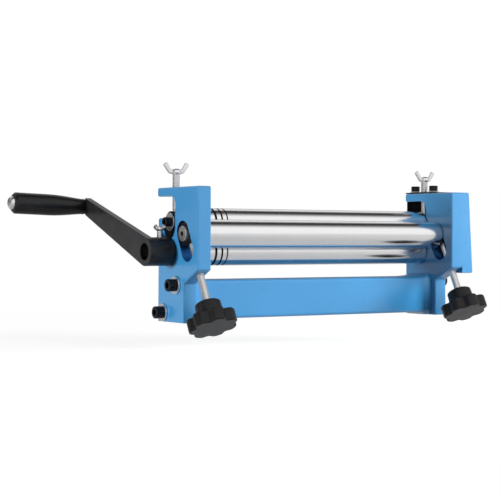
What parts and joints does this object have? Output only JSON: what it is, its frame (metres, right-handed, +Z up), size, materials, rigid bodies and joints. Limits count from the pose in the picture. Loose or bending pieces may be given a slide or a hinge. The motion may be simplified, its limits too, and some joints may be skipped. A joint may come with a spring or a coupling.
{
  "type": "slip roll machine",
  "caption": "Hand-cranked bench slip roll: chromed rollers between two cast stands, a gear pair under a guard, sliding bearing blocks and star knobs, for curving sheet and wire.",
  "frame": {"origin": "middle of the left stand's foot face, on the plane of the bench", "axes": "+X along the rollers from the crank side to the gear side, +Y to the rear (away from the star knobs), +Z up"},
  "size_m": [0.4868, 0.2583, 0.1809],
  "materials": {
    "blue_paint": "semi-gloss light blue enamel over cast iron",
    "chrome": "ground and polished, mirror-like",
    "black_oxide": "black oxide, satin",
    "black_paint": "satin black paint on steel",
    "black_plastic": "moulded, lightly textured",
    "bright_zinc": "bright zinc plated",
    "gear_steel": "machined steel, light oil",
    "bush_bronze": "sintered bronze, dull"
  },
  "bodies": {
    "base": {"left_stand": "blue_paint", "right_stand": "blue_paint", "cross_beam": "blue_paint", "gear_guard": "black_paint", "lower_bush_left": "bush_bronze", "beam_washer_left_upper": "bright_zinc", "beam_screw_left_upper": "black_oxide", "beam_washer_left_lower": "bright_zinc", "beam_screw_left_lower": "black_oxide", "lower_bush_right": "bush_bronze", "beam_washer_right_upper": "bright_zinc", "beam_screw_right_upper": "black_oxide", "beam_washer_right_lower": "bright_zinc", "beam_screw_right_lower": "black_oxide", "guard_washer_front": "bright_zinc", "guard_screw_front": "black_oxide", "guard_washer_rear": "bright_zinc", "guard_screw_rear": "black_oxide"},
    "lower_drive": {"lower_roller": "chrome", "lower_gear": "gear_steel", "lower_gear_key": "gear_steel", "lower_gear_ring": "black_oxide", "crank_arm": "black_paint", "grip_bolt": "bright_zinc"},
    "crank_grip": {"grip": "black_plastic"},
    "crank_clamp": {"crank_clamp_screw": "bright_zinc"},
    "pinch_carrier": {"upper_block_left": "black_oxide", "upper_block_right": "black_oxide"},
    "upper_drive": {"upper_roller": "chrome", "upper_gear": "gear_steel", "upper_gear_key": "gear_steel", "upper_gear_ring": "black_oxide", "upper_end_washer": "bright_zinc", "upper_end_screw": "black_oxide"},
    "left_pinch_bolt": {"pinch_bolt_left": "bright_zinc"},
    "right_pinch_bolt": {"pinch_bolt_right": "bright_zinc"},
    "bending_carrier": {"bending_block_left": "black_oxide", "bending_block_right": "black_oxide"},
    "bending_drum": {"bending_roller": "chrome"},
    "left_knob": {"knob_screw_left": "bright_zinc", "star_knob_left": "black_plastic"},
    "right_knob": {"knob_screw_right": "bright_zinc", "star_knob_right": "black_plastic"}
  },
  "joints": [
    {"name": "crank_turn", "type": "hinge", "parent": "base", "child": "lower_drive", "pos_m": [0.168, 0.0029, 0.0738], "axis": [1, 0, 0], "continuous": true},
    {"name": "grip_spin", "type": "hinge", "parent": "lower_drive", "child": "crank_grip", "pos_m": [-0.0345, 0.15055, 0.12291], "axis": [0.9994, 0, -0.0349], "continuous": true},
    {"name": "clamp_screw_turn", "type": "hinge", "parent": "lower_drive", "child": "crank_clamp", "pos_m": [-0.0196, 0.0029, 0.095], "axis": [0, 0, 1], "range_deg": [-40, 40]},
    {"name": "pinch_slide", "type": "slide", "parent": "base", "child": "pinch_carrier", "axis": [0, 0, 1], "range_m": [-0.0006, 0.0015]},
    {"name": "upper_roller_turn", "type": "hinge", "parent": "pinch_carrier", "child": "upper_drive", "pos_m": [0.168, 0.0029, 0.1048], "axis": [1, 0, 0], "continuous": true},
    {"name": "left_pinch_bolt_turn", "type": "hinge", "parent": "pinch_carrier", "child": "left_pinch_bolt", "pos_m": [0, 0.0029, 0.141], "axis": [0, 0, 1], "range_deg": [-173, 433]},
    {"name": "right_pinch_bolt_turn", "type": "hinge", "parent": "pinch_carrier", "child": "right_pinch_bolt", "pos_m": [0.336, 0.0029, 0.141], "axis": [0, 0, 1], "range_deg": [-173, 433]},
    {"name": "bending_slide", "type": "slide", "parent": "base", "child": "bending_carrier", "axis": [0, -0.454, -0.891], "range_m": [0, 0.016]},
    {"name": "bending_roller_turn", "type": "hinge", "parent": "bending_carrier", "child": "bending_drum", "pos_m": [0.168, -0.0256, 0.0925], "axis": [1, 0, 0], "continuous": true},
    {"name": "left_knob_turn", "type": "hinge", "parent": "bending_carrier", "child": "left_knob", "pos_m": [0, -0.0256, 0.0925], "axis": [0, -0.454, -0.891], "range_deg": [0, 4609]},
    {"name": "right_knob_turn", "type": "hinge", "parent": "bending_carrier", "child": "right_knob", "pos_m": [0.336, -0.0256, 0.0925], "axis": [0, -0.454, -0.891], "range_deg": [0, 4609]}
  ],
  "couplings": [
    {"joint": "upper_roller_turn", "follows": "crank_turn", "ratio": -1},
    {"joint": "left_pinch_bolt_turn", "follows": "pinch_slide", "rad_per_m": 5026.5},
    {"joint": "right_pinch_bolt_turn", "follows": "pinch_slide", "rad_per_m": 5026.5},
    {"joint": "left_knob_turn", "follows": "bending_slide", "rad_per_m": 5026.5},
    {"joint": "right_knob_turn", "follows": "bending_slide", "rad_per_m": 5026.5}
  ]
}
